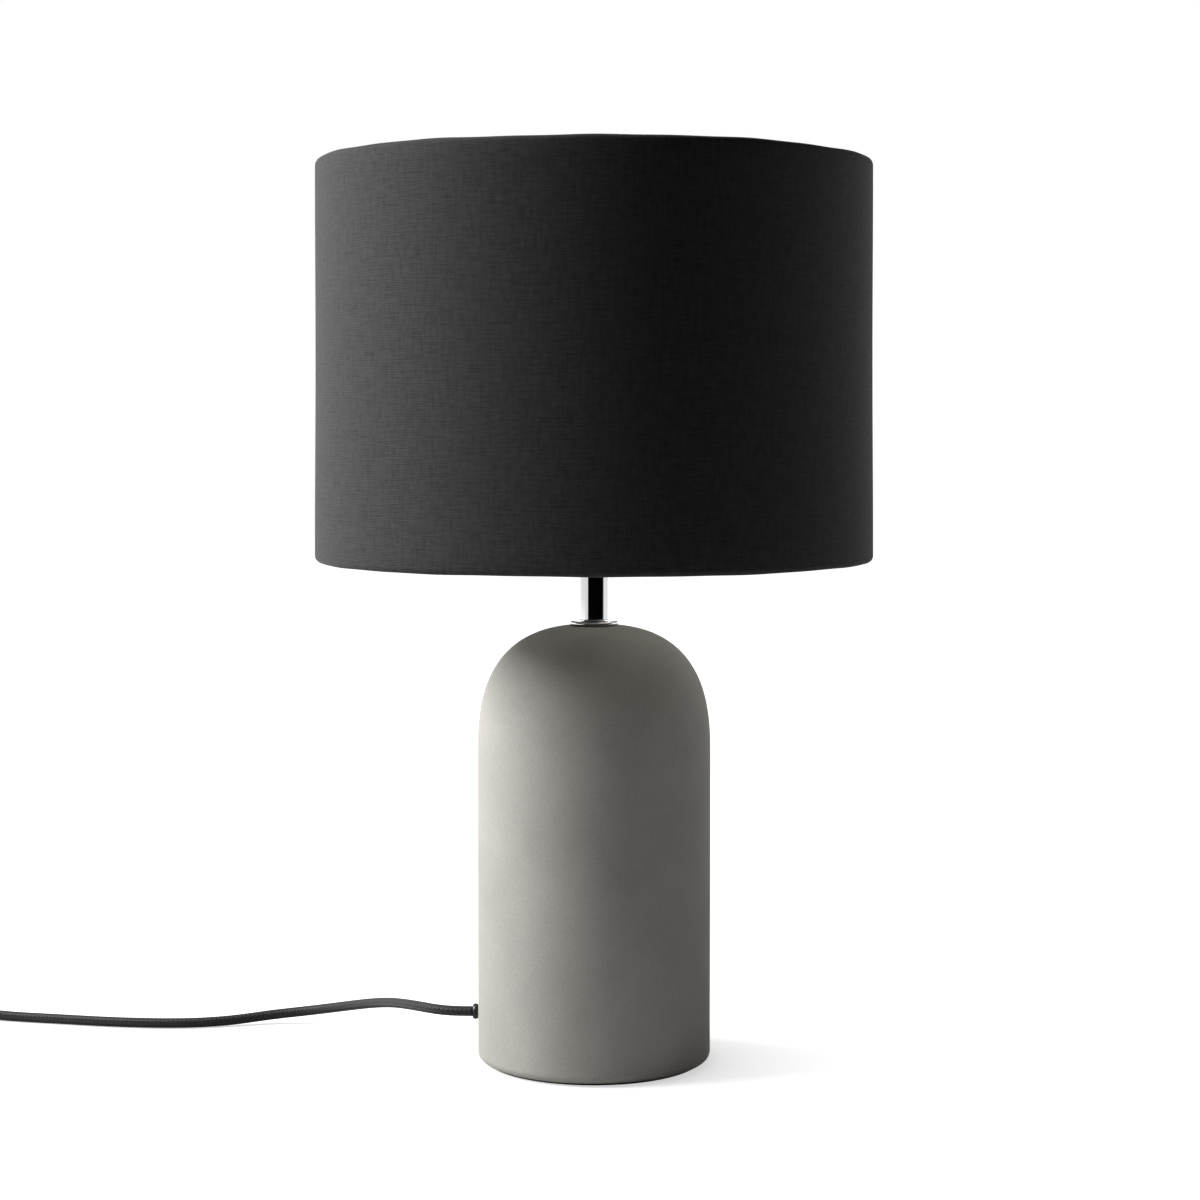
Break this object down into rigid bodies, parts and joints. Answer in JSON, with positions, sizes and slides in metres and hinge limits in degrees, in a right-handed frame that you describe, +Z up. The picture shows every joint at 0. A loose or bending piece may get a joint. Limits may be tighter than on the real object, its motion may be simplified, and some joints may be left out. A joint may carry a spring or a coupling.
{
  "type": "table lamp",
  "caption": "Table lamp with a domed concrete base, short chrome stem, black fabric drum shade and a textile cord with in-line switch and plug.",
  "frame": {"origin": "centre of the base's underside, on the table", "axes": "+Z up along the lamp's axis; the cord leaves the base towards -X; the front is -Y"},
  "size_m": [0.6605, 0.3, 0.4843],
  "materials": {
    "concrete": "cast and sealed, matt",
    "cotton": "woven cotton, matt",
    "lining": "smooth white film",
    "white_metal": "white enamel",
    "chrome": "polished",
    "zinc": "zinc plated",
    "black_plastic": "moulded, satin",
    "felt": "pressed felt",
    "ceramic": "fired, unglazed",
    "brass": "stamped",
    "opal": "opal diffuser",
    "white_plastic": "moulded",
    "braid": "braided textile over rubber",
    "brown_insulation": "extruded",
    "blue_insulation": "extruded"
  },
  "bodies": {
    "lamp": {"base_shell": "concrete", "top_disc": "chrome", "stem_tube": "chrome", "threaded_rod": "zinc", "dome_nut": "zinc", "dome_washer": "zinc", "cap_lock_screw": "zinc", "cord_stop_collar": "zinc", "switch_screw_base_side": "zinc", "switch_screw_plug_side": "zinc", "plug_pin_1": "zinc", "plug_pin_2": "zinc", "bottom_cover": "black_plastic", "cord_bushing": "black_plastic", "holder_cap": "black_plastic", "holder_shell": "black_plastic", "switch_lower_shell": "black_plastic", "switch_upper_shell": "black_plastic", "plug_body": "black_plastic", "coil_tie": "black_plastic", "felt_pad": "felt", "holder_insert": "ceramic", "holder_centre_contact": "brass", "holder_side_contact": "brass", "terminal_screw_live": "brass", "terminal_screw_neutral": "brass", "switch_terminal_in": "brass", "switch_terminal_out": "brass", "cord_base_to_switch": "braid", "cord_switch_to_coil": "braid", "cord_coil": "braid", "cord_coil_to_plug": "braid", "inner_cord": "braid", "live_wire": "brown_insulation", "neutral_wire": "blue_insulation"},
    "shade": {"shade_cloth": "cotton", "shade_lining": "lining", "shade_top_wire": "white_metal", "shade_bottom_wire": "white_metal", "fitter_ring": "white_metal", "fitter_spoke_1": "white_metal", "fitter_spoke_2": "white_metal", "fitter_spoke_3": "white_metal"},
    "shade_ring": {"shade_ring": "black_plastic"},
    "bulb_tip": {"bulb_tip_contact": "brass"},
    "bulb": {"bulb_insulator": "black_plastic", "bulb_screw_cap": "zinc", "bulb_collar": "white_plastic", "bulb_led_plate": "white_plastic", "bulb_globe": "opal"},
    "rocker": {"switch_rocker": "black_plastic", "switch_contact": "brass"}
  },
  "joints": [
    {"name": "shade_turn", "type": "hinge", "parent": "lamp", "child": "shade", "pos_m": [0, 0, 0.3043], "axis": [0, 0, 1], "continuous": true},
    {"name": "shade_ring_turn", "type": "hinge", "parent": "lamp", "child": "shade_ring", "pos_m": [0, 0, 0.3062], "axis": [0, 0, 1], "range_deg": [0, 1440]},
    {"name": "bulb_rise", "type": "slide", "parent": "lamp", "child": "bulb_tip", "axis": [0, 0, 1], "range_m": [0, 0.02188]},
    {"name": "bulb_turn", "type": "hinge", "parent": "bulb_tip", "child": "bulb", "pos_m": [0, 0, 0.3047], "axis": [0, 0, 1], "range_deg": [0, 2160]},
    {"name": "switch_rocker_tilt", "type": "hinge", "parent": "lamp", "child": "rocker", "pos_m": [-0.408, 0.1, 0.0144], "axis": [-0.1736, -0.9848, 0], "range_deg": [0, 16]}
  ],
  "couplings": [
    {"joint": "bulb_rise", "follows": "bulb_turn", "m_per_rad": 0.00057773}
  ]
}
